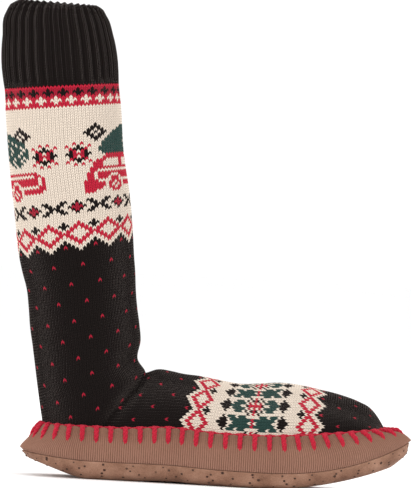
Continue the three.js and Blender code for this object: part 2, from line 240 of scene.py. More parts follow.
def outsole_rows(turns):
    """The dish's section, from the middle of its inner face over the rim to the middle of its underside."""
    inside = ring_loop(sole_ring("floor", SUEDE_THICK / 2), turns, SUEDE_THICK)
    underside = ring_loop(sole_ring("floor", FLAT_INSET), turns)
    rows = [
        inside * [1, 0, 1],
        inside,
        ring_loop(sole_ring("turn", SUEDE_THICK), turns, SUEDE_THICK / 2),
        ring_loop(sole_ring("seam", SUEDE_THICK), turns, -SEAM_GAP),
        ring_loop(sole_ring("seam", RIM_DIP), turns, -SEAM_GAP),
        ring_loop(sole_ring("seam"), turns, -SEAM_GAP - RIM_DIP),
        (ring_loop(sole_ring("seam"), turns) + ring_loop(sole_ring("turn", -TURN_SWELL), turns)) / 2,
        ring_loop(sole_ring("turn"), turns),
        ring_loop(sole_ring("floor", -FLAT_FLARE), turns, FLAT_LIFT),
    ]
    for share in (1, 0.75, 0.5, 0.25, 0):
        rows.append(underside * [1, share, 1])
    return np.array(rows)


suede_turns = even_turns(sole_ring("bulge"), np.arange(SUEDE_COLUMNS) / SUEDE_COLUMNS)
suede_rows = outsole_rows(suede_turns)
suede_knots = np.arange(len(suede_rows))
suede_places = np.concatenate([
    suede_knots[:RIM_ROW],
    np.linspace(RIM_ROW, FLAT_ROW, RIM_TO_FLAT_STEPS),
    suede_knots[FLAT_ROW + 1:],
])
suede_points = curve_through(suede_knots, suede_rows, suede_places)
suede_points[:, :, 2] = np.maximum(suede_points[:, :, 2], 0.0)
outsole = add_object(
    "suede_outsole", suede_points, sheet_faces(*suede_points.shape[:2], wrap=True), suede_material()
)
weld(outsole, distance=0.01)
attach(outsole, "root")
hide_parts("outsole")


# Grip dots
# Small drops of dark brown rubber, large and small, in rows that follow the sole's outline.
# They stand a little proud of the suede, on its underside and on the edge that turns up.
DOT_RADIUS, DOT_HEIGHT = 0.95, 0.35
DOT_SIZES = (0.5, 1.1)
DOT_SEED = 4
DOT_LINE_SAMPLES = 2001
DOT_STEP_ROUND, DOT_STEP_DOWN = 0.002, 0.05
RUBBER_TONES = ((0.35, (0.045, 0.022, 0.016)), (0.7, (0.1, 0.055, 0.04)))
# Each row: its place on the suede's section, the pitch of its dots, and how far its first dot is set on.
DOT_ROWS = (
    (5.35, 19.0, 0.0),
    (5.8, 27.0, 0.4),
    (6.2, 16.0, 0.7),
    (6.7, 23.0, 0.2),
    (7.2, 13.0, 0.5),
    (9.0, 11.0, 0.0),
    (10.0, 11.0, 0.5),
    (11.0, 11.0, 0.0),
    (12.0, 11.0, 0.5),
)


def rubber_material():
    material, tree, shader = start_material("grip_rubber", roughness=0.6)
    place = add_node(tree, "ShaderNodeTexCoord").outputs["Object"]
    worn = noise_node(tree, place, scale=400.0, detail=3.0)
    tree.links.new(colour_ramp(tree, worn, RUBBER_TONES), shader.inputs["Base Color"])
    set_bump(tree, shader, worn, strength=0.3, distance=0.0003)
    return material


def dot_places():
    """Points on the suede with the way out of it, row by row."""
    fine_rows = outsole_rows(np.linspace(0, 1, DOT_LINE_SAMPLES))
    points, normals = [], []
    for row, pitch, offset in DOT_ROWS:
        line = curve_through(suede_knots, fine_rows, np.array([row]))[0]
        count = int(path_lengths(line)[-1] / pitch)
        turns = even_turns(sole_ring("bulge"), (np.arange(count) + offset) / count)
        beside = outsole_rows((turns + DOT_STEP_ROUND) % 1.0)
        at, down = curve_through(suede_knots, outsole_rows(turns), np.array([row, row + DOT_STEP_DOWN]))
        ahead = curve_through(suede_knots, beside, np.array([row]))[0] - at
        out = np.cross(down - at, ahead)
        keep = np.linalg.norm(out, axis=1) > 1e-6
        points.append(at[keep])
        normals.append(out[keep] / np.linalg.norm(out[keep], axis=1)[:, None])
    return np.concatenate(points), np.concatenate(normals)


def start_tree(name, inputs):
    tree = bpy.data.node_groups.new(name, "GeometryNodeTree")
    tree.interface.new_socket("Geometry", in_out="INPUT", socket_type="NodeSocketGeometry")
    for label, kind in inputs.items():
        tree.interface.new_socket(label, in_out="INPUT", socket_type=kind)
    tree.interface.new_socket("Geometry", in_out="OUTPUT", socket_type="NodeSocketGeometry")
    return tree, tree.nodes.new("NodeGroupInput").outputs


def end_tree(tree, geometry, material):
    whole = add_node(tree, "GeometryNodeRealizeInstances", {"Geometry": geometry}).outputs["Geometry"]
    dressed = add_node(tree, "GeometryNodeSetMaterial", {"Geometry": whole, "Material": material})
    shaded = add_node(tree, "GeometryNodeSetShadeSmooth", {"Geometry": dressed.outputs["Geometry"]})
    add_node(tree, "NodeGroupOutput", {"Geometry": shaded.outputs["Geometry"]})


def grow(source, tree, values):
    """Runs a tree on a source object and leaves its result as a plain mesh on that object."""
    modifier = source.modifiers.new("grow", "NODES")
    modifier.node_group = tree
    for item in tree.interface.items_tree:
        if item.item_type == "SOCKET" and item.in_out == "INPUT" and item.name in values:
            modifier[item.identifier] = values[item.name]
    graph = bpy.context.evaluated_depsgraph_get()
    mesh = bpy.data.meshes.new_from_object(source.evaluated_get(graph))
    source.modifiers.remove(modifier)
    source.data = mesh
    return source


def dot_tree():
    tree, given = start_tree(
        "grip_dot_tree",
        {
            "Dot Radius": "NodeSocketFloat",
            "Dot Height": "NodeSocketFloat",
            "Smallest": "NodeSocketFloat",
            "Largest": "NodeSocketFloat",
            "Seed": "NodeSocketInt",
            "Rubber": "NodeSocketMaterial",
        },
    )
    drop = add_node(tree, "GeometryNodeMeshUVSphere", {"Segments": 10, "Rings": 6, "Radius": 1.0})
    share = add_node(
        tree,
        "FunctionNodeRandomValue",
        {2: given["Smallest"], 3: given["Largest"], "Seed": given["Seed"]},
        data_type="FLOAT",
    ).outputs[1]
    radius = math_node(tree, "MULTIPLY", given["Dot Radius"], share)
    size = add_node(tree, "ShaderNodeCombineXYZ", {"X": radius, "Y": radius, "Z": given["Dot Height"]})
    out = add_node(tree, "GeometryNodeInputNamedAttribute", {"Name": "way_out"}, data_type="FLOAT_VECTOR")
    turned = add_node(
        tree, "FunctionNodeAlignRotationToVector", {"Vector": out.outputs["Attribute"]}, axis="Z"
    )
    drops = add_node(
        tree,
        "GeometryNodeInstanceOnPoints",
        {
            "Points": given["Geometry"],
            "Instance": drop.outputs["Mesh"],
            "Rotation": turned.outputs["Rotation"],
            "Scale": size.outputs["Vector"],
        },
    )
    end_tree(tree, drops.outputs["Instances"], given["Rubber"])
    return tree


rubber = rubber_material()
dot_points, dot_normals = dot_places()
grip_dots = add_object("grip_dots", dot_points, np.empty((0, 4), int), rubber)
way_out = grip_dots.data.attributes.new("way_out", "FLOAT_VECTOR", "POINT")
way_out.data.foreach_set("vector", dot_normals.astype(np.float32).ravel())
grow(
    grip_dots,
    dot_tree(),
    {
        "Dot Radius": DOT_RADIUS * MM,
        "Dot Height": DOT_HEIGHT * MM,
        "Smallest": DOT_SIZES[0],
        "Largest": DOT_SIZES[1],
        "Seed": DOT_SEED,
        "Rubber": rubber,
    },
)
for vertex in grip_dots.data.vertices:
    vertex.co.z = max(vertex.co.z, 0.0)
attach(grip_dots, "root")
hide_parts("outsole")


# Insole
# A padded footbed of brushed fleece over foam, lying loose on the suede inside the sock.
# Its top is crowned and its edge is rolled under.
INSOLE_THICK = 4.0
INSOLE_SEAT = SUEDE_THICK + 0.3
INSOLE_CROWN = 0.6
INSOLE_COLUMNS, INSOLE_STEPS = 220, 25
FLEECE_TONES = ((0.3, (0.17, 0.12, 0.09)), (0.7, (0.34, 0.26, 0.2)))


def fleece_material():
    material, tree, shader = start_material("footbed_fleece", roughness=0.95, sheen=0.4)
    place = add_node(tree, "ShaderNodeTexCoord").outputs["Object"]
    pile = noise_node(tree, place, scale=700.0, detail=6.0)
    tree.links.new(colour_ramp(tree, pile, FLEECE_TONES), shader.inputs["Base Color"])
    set_bump(tree, shader, pile, strength=0.8, distance=0.001)
    return material


def insole_rows(turns):
    """The footbed's section, from the middle of its top over the rolled edge to the middle underneath."""
    low, rolled_edge = sole_ring("floor", SUEDE_THICK), sole_ring("floor", -SUEDE_THICK / 2)
    rows = []
    for share in (0, 0.3, 0.6, 0.85, 1):
        top = INSOLE_SEAT + INSOLE_THICK + INSOLE_CROWN * (1 - share)
        rows.append(ring_loop(low, turns, top) * [1, share, 1])
    rows.append(ring_loop(rolled_edge, turns, INSOLE_SEAT + INSOLE_THICK / 2))
    for share in (1, 0.5, 0):
        rows.append(ring_loop(low, turns, INSOLE_SEAT) * [1, share, 1])
    return np.array(rows)


insole_turns = even_turns(sole_ring("floor"), np.arange(INSOLE_COLUMNS) / INSOLE_COLUMNS)
insole_section = insole_rows(insole_turns)
insole_places = np.linspace(0, len(insole_section) - 1, INSOLE_STEPS)
insole_points = curve_through(np.arange(len(insole_section)), insole_section, insole_places)
insole = add_object(
    "padded_insole", insole_points, sheet_faces(*insole_points.shape[:2], wrap=True), fleece_material()
)
weld(insole, distance=0.01)
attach(insole, "root")
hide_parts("insole")


# Rib-knit side wall
# A band of fine one-by-one rib knit, sewn to the suede below and gathered to the sock above.
# Its top edge is pulled in at every blanket stitch and puffs up a little between the stitches.
RIB_KNIT_THICK = 2.4
# Each knot of the wall's section: its ring, inset and lift. The outer face runs from the lip to the seam.
WALL_OUTSIDE = (
    ("edge", -0.6, -0.6),
    ("edge", -1.2, 0.15),
    ("edge", -RIB_KNIT_THICK, -0.25),
    ("swell", 0.0, 0.0),
    ("bulge", 0.0, 0.0),
    ("seam", -0.4, 1.2),
    ("seam", 0.4, SEAM_GAP),
)
WALL_INSIDE = (
    ("seam", RIB_KNIT_THICK, SEAM_GAP),
    ("bulge", RIB_KNIT_THICK, 0.0),
    ("swell", RIB_KNIT_THICK, -RIB_KNIT_THICK / 2),
)
SEAM_KNOT = len(WALL_OUTSIDE) - 1
WALL_ROWS_OUT = 24
WALL_RIBS, COLUMNS_PER_RIB = 425, 4
WALL_RIB_RELIEF = (-0.3, 0.08, 0.2, 0.08)
LIP_RIB_SHARE = 0.2
RIB_START, RIB_RISE, RIB_END = 2.2, 1.8, 0.6
STITCH_COUNT = 58
PUFF_HEIGHT, PUFF_REACH, PUFF_POWER = 0.8, 2.2, 1.5
WEAVE_PER_KNOT = 8.0
WEAVE_INSIDE = (50.0, 58.0, 66.0, 70.0)
RIB_SHADE_START, RIB_SHADE_FULL = 18.0, 36.0
# Shares of the wall's colour. The rib's share is painted shade: the knit is drawn darker in the furrows
# between ribs and lighter on the ridges, most of all low on the wall. Fibre and cloud are the yarn's own
# varied tone.
RIB_PAINTED_SHADE, FIBRE_TONE, CLOUD_TONE = 0.5, 0.3, 0.25
RIB_KNIT_TONES_AND_SHADE = (
    (0.15, (0.12, 0.055, 0.037)),
    (0.5, (0.235, 0.117, 0.08)),
    (0.9, (0.32, 0.175, 0.125)),
)


def wave_node(tree, value, rate):
    """Ridges side by side: the absolute sine of a value."""
    angle = math_node(tree, "MULTIPLY", value, rate)
    return math_node(tree, "ABSOLUTE", math_node(tree, "SINE", angle))


def rib_knit_material():
    material, tree, shader = start_material("rib_knit", roughness=0.93, sheen=0.05)
    place = add_node(tree, "ShaderNodeTexCoord")
    across, along, _ = add_node(tree, "ShaderNodeSeparateXYZ", {0: place.outputs["UV"]}).outputs
    low = add_node(
        tree,
        "ShaderNodeMapRange",
        {"Value": along, "From Min": RIB_SHADE_START, "From Max": RIB_SHADE_FULL},
    ).outputs["Result"]
    depth = math_node(tree, "MULTIPLY_ADD", low, 1 - LIP_RIB_SHARE, LIP_RIB_SHARE)
    height = math_node(tree, "MULTIPLY", wave_node(tree, across, math.pi), depth)
    fibre = noise_node(tree, place.outputs["Object"], scale=900.0, detail=4.0)
    cloud = noise_node(tree, place.outputs["Object"], scale=35.0, detail=3.0)
    # The rib's height darkens the furrows as painted shade; the fibre and cloud noise are the yarn's own
    # tone.
    tone = math_node(tree, "MULTIPLY", fibre, FIBRE_TONE)
    tone = math_node(tree, "MULTIPLY_ADD", height, RIB_PAINTED_SHADE, tone)
    tone = math_node(tree, "MULTIPLY_ADD", cloud, CLOUD_TONE, tone)
    tree.links.new(colour_ramp(tree, tone, RIB_KNIT_TONES_AND_SHADE), shader.inputs["Base Color"])
    set_bump(tree, shader, height, strength=0.6, distance=0.0005)
    return material


def wall_section(knots, turns):
    return np.array([ring_loop(sole_ring(ring, inset), turns, lift) for ring, inset, lift in knots])


def rim_share(turns):
    """How far round the wall's lip each turn lies, as a share of the lip's length."""
    fine = np.linspace(0, 1, RING_SAMPLES)
    length = path_lengths(ring_loop(sole_ring("edge", -RIB_KNIT_THICK), fine))
    return np.interp(turns, fine, length / length[-1])


def wall_outer(turns, places):
    """Points of the outer face at places between its knots, with the puff of its gathered top edge."""
    section = wall_section(WALL_OUTSIDE, turns)
    points = curve_through(np.arange(len(section)), section, places)
    puff = np.cos(2 * np.pi * STITCH_COUNT * rim_share(turns))
    fade = np.clip(1 - (places - 1) / PUFF_REACH, 0, 1) ** PUFF_POWER
    points[:, :, 2] += PUFF_HEIGHT * fade[:, None] * puff[None, :]
    return points


def wall_normals(points):
    down = np.gradient(points, axis=0)
    ahead = (np.roll(points, -1, axis=1) - np.roll(points, 1, axis=1)) / 2
    out = np.cross(down, ahead)
    return out / np.maximum(np.linalg.norm(out, axis=2, keepdims=True), 1e-9)


def sheet_uv(rows, columns, across, along, wrap):
    """UV of each corner of a sheet's faces, from one value for each column and one for each row."""
    last = columns if wrap else columns - 1
    row, column = (n.ravel() for n in np.meshgrid(np.arange(rows - 1), np.arange(last), indexing="ij"))
    corner_row = np.stack([row, row + 1, row + 1, row], axis=-1)
    corner_column = np.stack([column, column, column + 1, column + 1], axis=-1)
    return np.stack([across[corner_column], along[corner_row]], axis=-1)


def set_uv(piece, uv):
    layer = piece.data.uv_layers.new(name="weave")
    layer.data.foreach_set("uv", uv.astype(np.float32).ravel())


wall_columns = WALL_RIBS * COLUMNS_PER_RIB
wall_turns = even_turns(sole_ring("bulge"), np.arange(wall_columns) / wall_columns)
wall_places = np.linspace(0, SEAM_KNOT, WALL_ROWS_OUT)
wall_points = wall_outer(wall_turns, wall_places)
rib_wave = np.tile(WALL_RIB_RELIEF, WALL_RIBS)
rib_depth = LIP_RIB_SHARE + (1 - LIP_RIB_SHARE) * smooth_step((wall_places - RIB_START) / RIB_RISE)
rib_depth = rib_depth * smooth_step((SEAM_KNOT - wall_places) / RIB_END)
wall_points = wall_points + wall_normals(wall_points) * (rib_depth[:, None] * rib_wave)[:, :, None]
wall_points = np.concatenate([wall_points, wall_section(WALL_INSIDE, wall_turns), wall_points[:1]])
side_wall = add_object(
    "rib_knit_wall", wall_points, sheet_faces(*wall_points.shape[:2], wrap=True), rib_knit_material()
)
wall_across = np.arange(wall_columns + 1) / COLUMNS_PER_RIB
wall_along = np.concatenate([wall_places * WEAVE_PER_KNOT, WEAVE_INSIDE])
set_uv(side_wall, sheet_uv(*wall_points.shape[:2], wall_across, wall_along, wrap=True))
weld(side_wall, distance=0.002)
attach(side_wall, "root")
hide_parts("side_wall")


# Knitted sock: the yarns and the charts
# Cuff, leg and foot are knitted in one from four yarns, with the pattern worked from charts. A chart is read
# from the cuff down, one letter for each stitch: k black, r red, d the same red darkened as painted shade
# for stitches that sit deep between others, g green, and a dot for the cream ground.
STITCHES = 96
COURSE = 1.71
YARNS = {
    "k": (0.0098, 0.0065, 0.0058),
    "r": (0.57, 0.018, 0.046),
    # d is the red yarn darkened as painted shade, for red stitches sunk between black ones.
    "d": (0.4, 0.014, 0.036),
    ".": (0.86, 0.735, 0.615),
    "g": (0.026, 0.066, 0.057),
}
YARN_LETTERS = "".join(YARNS)
BLACK, SHADED_RED, CREAM = (YARN_LETTERS.index(letter) for letter in "kd.")
BORDER_CHART = (
    "rrrr",
    "dkdd",
    "kkkd",
    "dkdd",
    "rrr.",
    ".r..",
    "rrr.",
    "rrrr",
)
SNOW_DIAMOND_CHART = (
    "...k...",
    "..kkk..",
    ".kk.kk.",
    "kk.k.kk",
    ".kk.kk.",
    "..kkk..",
    "...k...",
)
ROSETTE_CHART = (
    "..r.r..",
    "r..k..r",
    ".rkkkr.",
    ".kr.rk.",
    "kkdrdkk",
    ".kr.rk.",
    ".rkkkr.",
    "r..k..r",
    "..r.r..",
)
TREE_CHART = (
    "..........ggggggggg...........",
    "........gggggggggg.gggg.......",
    "......ggggggggggg.ggggggg.....",
    ".....ggggggggggggggg.ggggg....",
    "....gggggggggg.gggggggg.gggg..",
    "...gggggggggggggggg.ggggg.ggg.",
    "..ggggggggggg.gggggggg.gggg.g.",
    "..ggggggggggggggg.ggggg.gggg.g",
    ".ggggggggggggg.ggggggg.gggg.gg",
    ".gggggggggggggggggg.gggggg.ggg",
    "..ggggggggggggg.gggggggg.ggg.g",
    "....................ggg.ggg.g.",
    "......................gg.ggg..",
    "........................g.g...",
)
CAR_CHART = (
    ".......rrrrrrrrrrr....................",
    "......rrrrrrrrrrrrr...................",
    "....rrr.....rr....rr..................",
    "...rrr......rr.....rr.................",
    "...rrr......rr......rr................",
    "..rrrrrrrrrrrrrrrrrrrrrrrrrrrrrrrrrr..",
    "..rr...............................rr.",
    ".rr.rrrrrrrrrrrrrrrrrrrrrrrrrrrrrrrr.r",
    ".rr.rrrr...rrrrrrrrrrrrrrr...rrrrrrr.r",
    ".rr.rrr.rrr.rrrrrrrrrrrrr.rrr.rrrrrr.r",
    "rrrr....rrr...............rrr.......rr",
    "rrrrrr.rr.rr.rrrrrrrrrrr.rr.rr.rrrrrrr",
    "rrrrrr.r.r.r.rrrrrrrrrrr.r.r.r.rrrrrr.",
    "rrrrr..rr.rr.............rr.rr........",
    "rrr.....rrr...............rrr.........",
)
CROSS_CHART = (
    "..k..kk...kk",
    ".kdk..kk.kk.",
    "kdddk..kkk..",
    ".kdk..kk.kk.",
    "..k..kk...kk",
)
DIAMOND_CHART = (
    "k...r...",
    "kk.rrr.k",
    "k.rr.rr.",
    ".rr...rr",
    "rr.....r",
    ".rr...rr",
    "..rr.rr.",
    "k..rrr..",
    "kk..r..k",
    "dkk...kk",
    "kkkk.kkk",
)
DIAMOND_DOT_ROW = 9
INSTEP_CHART = (
    "rdrrrdr.rdr.",
    ".k.r.k..g.g.",
    "k.drd.k.ggg.",
    ".k.k.k.ggggg",
    "..g.g..ggggg",
    ".gg.gg.ggggg",
    ".ggggg..ggg.",
    ".ggggg.ggggg",
    "..ggg..gg.gg",
    "...g...g...g",
    "..kkk...kkk.",
    ".kkkkk.kkkkk",
    "..kkk...kkk.",
    "...k.....k..",
)
REPEAT = 48
FIELD_ROWS = (8, 52)
BORDER_SHIFT = 23
CAR_AT, TREE_AT = (27, 28), (16, 32)
ROSETTE_ROW, ROSETTE_COLUMNS = 22, (15, 24)
SNOW_ROW, SNOW_COLUMNS = 15, (8, 29)
CROSS_ROW, CROSS_SHIFT = 44, 11
DIAMOND_ROW, DIAMOND_SHIFT = 52, 21
DOT_COURSES, DOT_STITCHES = 7, 8
# Painted shade on the knit: how much darker the yarn is drawn in the gaps between stitches and between
# wales. Heather is the yarn's own varied tone.
STRAND_SHADE, WALE_SHADE, LEAST_SHADE = 0.55, 0.12, 0.42
HEATHER_SHARE, HEATHER_LEAST = 0.5, 0.62
FIBRE_HEIGHT = 0.3


def letters(chart):
    return np.array([[YARN_LETTERS.index(letter) for letter in row] for row in chart])


def tile_chart(cloth, chart, row, shift):
    """Repeats a chart round the cloth from the given row."""
    grid = letters(chart)
    columns = (np.arange(cloth.shape[1]) - shift) % grid.shape[1]
    cloth[row:row + len(grid)] = grid[:, columns]


def stamp_chart(cloth, chart, row, column):
    """Sets one motif into the cream ground, and leaves the ground where the chart has a dot."""
    grid = letters(chart)
    columns = (np.arange(grid.shape[1]) + column) % cloth.shape[1]
    target = cloth[row:row + len(grid), :][:, columns]
    cloth[row:row + len(grid), columns] = np.where(grid == CREAM, target, grid)


def dot_cloth(cloth, first_row, first_column):
    """Single red stitches on black, every second row of them set between the last ones."""
    for n, row in enumerate(range(first_row, cloth.shape[0], DOT_COURSES)):
        shift = (first_column + (n % 2) * DOT_STITCHES // 2) % DOT_STITCHES
        cloth[row, shift::DOT_STITCHES] = SHADED_RED


def leg_cloth(courses):
    cloth = np.full((courses, STITCHES), BLACK)
    cloth[FIELD_ROWS[0]:FIELD_ROWS[1]] = CREAM
    tile_chart(cloth, BORDER_CHART, 0, BORDER_SHIFT)
    for start in range(0, STITCHES, REPEAT):
        stamp_chart(cloth, CAR_CHART, CAR_AT[0], CAR_AT[1] + start)
        stamp_chart(cloth, TREE_CHART, TREE_AT[0], TREE_AT[1] + start)
        for rosette, snow in zip(ROSETTE_COLUMNS, SNOW_COLUMNS):
            stamp_chart(cloth, ROSETTE_CHART, ROSETTE_ROW, rosette + start)
            stamp_chart(cloth, SNOW_DIAMOND_CHART, SNOW_ROW, snow + start)
    tile_chart(cloth, CROSS_CHART, CROSS_ROW, CROSS_SHIFT)
    tile_chart(cloth, DIAMOND_CHART, DIAMOND_ROW, DIAMOND_SHIFT)
    dot_cloth(cloth, DIAMOND_ROW + DIAMOND_DOT_ROW + DOT_COURSES, DIAMOND_SHIFT + DOT_STITCHES // 2)
    return cloth


def knit_material():
    material, tree, shader = start_material("patterned_knit", roughness=0.95, sheen=0.2)
    shader.inputs["Sheen Roughness"].default_value = 0.3
    place = add_node(tree, "ShaderNodeTexCoord")
    across, along, _ = add_node(tree, "ShaderNodeSeparateXYZ", {0: place.outputs["UV"]}).outputs
    arm, loop = wave_node(tree, across, 2 * math.pi), wave_node(tree, along, math.pi)
    strand = math_node(tree, "POWER", math_node(tree, "MULTIPLY", arm, loop), 0.5)
    fibre = noise_node(tree, place.outputs["Object"], scale=1800.0, detail=3.0)
    heather = math_node(tree, "MULTIPLY_ADD", fibre, HEATHER_SHARE, HEATHER_LEAST)
    # Painted shade: the yarn is darkened in the gaps between the stitches' arms and between wales; the
    # heather noise is the yarn's own tone.
    wale = wave_node(tree, across, math.pi)
    shade = math_node(tree, "MULTIPLY_ADD", wale, WALE_SHADE, LEAST_SHADE)
    shade = math_node(tree, "MULTIPLY_ADD", strand, STRAND_SHADE, shade)
    shade = math_node(tree, "MULTIPLY", shade, heather)
    yarn = add_node(tree, "ShaderNodeAttribute", attribute_name="yarn").outputs["Color"]
    shaded_yarn = add_node(
        tree, "ShaderNodeMix", {"Factor": 1.0, 6: yarn, 7: shade}, data_type="RGBA", blend_type="MULTIPLY"
    ).outputs[2]
    tree.links.new(shaded_yarn, shader.inputs["Base Color"])
    height = math_node(tree, "MULTIPLY_ADD", fibre, FIBRE_HEIGHT, strand)
    set_bump(tree, shader, height, strength=0.7, distance=0.0006)
    return material


def knit_object(name, points, cloth, across, along, wrap, keep=None, inset=0.0):
    """A knitted sheet: points in rows and columns, and a yarn for each face or one yarn for all."""
    rows, columns = points.shape[:2]
    corners = points.reshape(-1, 3)
    faces = sheet_faces(rows, columns, wrap)
    chosen = np.ones(len(faces), bool)
    if keep is not None:
        chosen = keep(corners[faces].mean(axis=1), inset)
    used, index = np.unique(faces[chosen], return_inverse=True)
    piece = add_object(name, corners[used], index.reshape(-1, 4), knit)
    set_uv(piece, sheet_uv(rows, columns, across, along, wrap)[chosen])
    palette = np.array([(*colour, 1.0) for colour in YARNS.values()])
    yarns = np.broadcast_to(cloth, (rows - 1, len(faces) // (rows - 1))).ravel()[chosen]
    dye = piece.data.color_attributes.new("yarn", "FLOAT_COLOR", "CORNER")
    dye.data.foreach_set("color", np.repeat(palette[yarns], 4, axis=0).astype(np.float32).ravel())
    return piece


knit = knit_material()


# Knitted sock: the leg
# A soft tube knitted in the round, whose courses tilt more and more towards the heel. It is knitted in one
# with the foot, so it stops where the foot's form starts, in a soft fold at the ankle.
LEG_POWER = 2.35
# Each course: x and z of its back, x and z of its front, and half its width.
LEG_COURSES = {
    "rim": (-57.5, 309.3, -6.5, 307.8, 26.5),
    "crown": (-62.4, 307.2, -3.2, 306.4, 30.5),
    "shoulder": (-65.5, 303.0, -0.5, 303.5, 32.0),
    "cuff_top": (-67.5, 286.0, 5.0, 290.5, 35.0),
    "cuff_middle": (-67.5, 272.0, 8.0, 279.0, 36.0),
    "rib_end": (-65.0, 255.0, 10.0, 262.5, 36.2),
    "cuff_foot": (-64.2, 251.5, 10.2, 259.0, 36.0),
    "band": (-63.0, 239.0, 12.0, 247.5, 36.8),
    "calf": (-58.5, 202.5, 16.0, 213.0, 37.0),
    "shin": (-53.5, 171.0, 21.5, 185.0, 36.5),
    "chevron": (-49.0, 142.5, 25.0, 158.0, 36.0),
    "back_fold": (-46.5, 133.0, 26.0, 148.0, 35.5),
    "back_dip": (-42.8, 121.0, 27.5, 136.0, 35.0),
    "low_leg": (-41.0, 109.5, 28.5, 124.0, 34.6),
    "over_ankle": (-39.3, 96.0, 30.0, 113.0, 34.5),
    "front_fold": (-37.0, 84.0, 32.0, 102.0, 34.6),
    "ankle": (-34.8, 71.4, 33.3, 91.7, 35.0),
    "front_pinch": (-32.4, 57.5, 32.0, 79.0, 35.5),
    "ankle_roll": (-30.1, 45.0, 38.0, 70.5, 36.0),
    "heel": (-27.6, 31.5, 37.0, 56.0, 35.4),
    "heel_hem": (-26.8, 18.0, 34.0, 40.0, 34.0),
}
STITCH_PARTS = 8
STITCH_RELIEF = np.array([-0.2, -0.04, 0.12, 0.05, -0.12, 0.05, 0.12, -0.04])
STITCH_SLANT = np.array([0.44, 0.22, 0.0, -0.22, -0.44, -0.22, 0.0, 0.22])
LEG_LOOP_SAMPLES = 721
PATTERN_COURSES = 66
CUFF_RIBS, CUFF_RIB_DEPTH = 36, 1.6
CUFF_RIB_POWER, CUFF_RIB_FADE = 1.4, 5.0
# Each section of the foot: x, the height of its ridge, and the power of its curve.
FOOT_SECTIONS = np.array([
    (2.0, 70.0, 1.9),
    (20.0, 71.0, 1.9),
    (37.0, 70.5, 1.9),
    (47.0, 73.3, 1.9),
    (54.0, 72.6, 1.95),
    (62.0, 71.2, 2.0),
    (74.0, 70.2, 2.0),
    (87.0, 68.2, 2.0),
    (100.0, 66.6, 2.0),
    (113.0, 67.4, 2.0),
    (126.0, 68.6, 2.05),
    (139.0, 67.8, 2.1),
    (152.0, 65.6, 2.1),
    (166.0, 62.8, 2.1),
    (179.0, 58.7, 2.1),
    (186.0, 55.2, 2.1),
    (191.0, 50.0, 2.1),
    (194.0, 45.6, 2.1),
    (195.7, 42.6, 2.1),
])
FOOT_START, TOE_END = FOOT_SECTIONS[[0, -1], 0]
FOOT_HEEL_TUCK, FOOT_TUCK_END = 1.5, 36.0
FOOT_LEAST = 0.3
OUTSIDE = 9.0
FOLD_DEPTH, FOLD_WIDTH = 2.2, 2.6
FOLD_SWELL, FOLD_SWELL_AT = 0.7, 2.4
FOLD_TOP_SHARE, FOLD_SIDE_START = 0.1, 20.0
FOLD_START, FOLD_BLEND = 5.0, 12.0
FOLD_FOOT_POWER, FOLD_FOOT_SIZE = 2.0, 32.0
FOLD_OVERLAP = 3.4
SOCK_TUCK = 5.0

course_rows = np.array(list(LEG_COURSES.values()))
course_places = path_lengths((course_rows[:, 0:2] + course_rows[:, 2:4]) / 2)
course_places -= course_places[list(LEG_COURSES).index("cuff_foot")]


def rounded(value):
    return np.sign(value) * np.abs(value) ** (2 / LEG_POWER)


def leg_points(place, turns, out, lift=0.0):
    """Points of the leg: place is how far below the cuff's foot, turn 0 is the back and 0.5 the front."""
    course = curve_through(course_places, course_rows, place)
    back, front, half = course[..., 0:2], course[..., 2:4], course[..., 4]
    centre, reach = (back + front) / 2, front - back
    depth = np.linalg.norm(reach, axis=-1) / 2
    along = reach / (2 * depth[..., None])
    angles = np.linspace(0, 2 * np.pi, LEG_LOOP_SAMPLES)
    circle = np.stack([rounded(np.cos(angles)), rounded(np.sin(angles))], axis=-1)
    angle = np.empty(np.broadcast_shapes(place.shape, turns.shape))
    for row in range(angle.shape[0]):
        length = path_lengths(circle * [depth[row, 0], half[row, 0]])
        angle[row] = np.interp(np.broadcast_to(turns, angle.shape)[row] * length[-1], length, angles)
    reach_out = -(depth + out) * rounded(np.cos(angle))
    x = centre[..., 0] + along[..., 0] * reach_out
    y = -(half + out) * rounded(np.sin(angle))
    z = centre[..., 1] + along[..., 1] * reach_out + lift
    return np.stack([x, y, z], axis=-1)


def cuff_rib(place, turns):
    """The furrows of the cuff's rib, which fade out at the top of the leg."""
    wave = (0.5 - 0.5 * np.cos(2 * np.pi * CUFF_RIBS * turns)) ** CUFF_RIB_POWER
    return -CUFF_RIB_DEPTH * wave * smooth_step(-place / CUFF_RIB_FADE)


def foot_section(x, inset=0.0):
    edge = sole_ring("edge", inset)
    tuck = FOOT_HEEL_TUCK * (1 - smooth_step(x / FOOT_TUCK_END))
    half = ring_half(edge, np.minimum(x, edge["toe"] - FOOT_LEAST)) - tuck
    low = ring_height(sole_ring("edge"), x)
    top, power = np.moveaxis(curve_through(FOOT_SECTIONS[:, 0], FOOT_SECTIONS[:, 1:], x), -1, 0)
    return np.maximum(half, FOOT_LEAST), low, np.maximum(top - inset, low + FOOT_LEAST), power


def foot_share(points, inset):
    """How far a point is through the foot's form: under 1 is inside."""
    x, y, z = np.moveaxis(points, -1, 0)
    half, low, top, power = foot_section(np.clip(x, FOOT_START, TOE_END), inset)
    up = np.clip((z - low) / (top - low), 0, None)
    share = (np.abs(y) / half) ** power + up**power
    return np.where((x > FOOT_START) & (x < TOE_END), share, OUTSIDE)


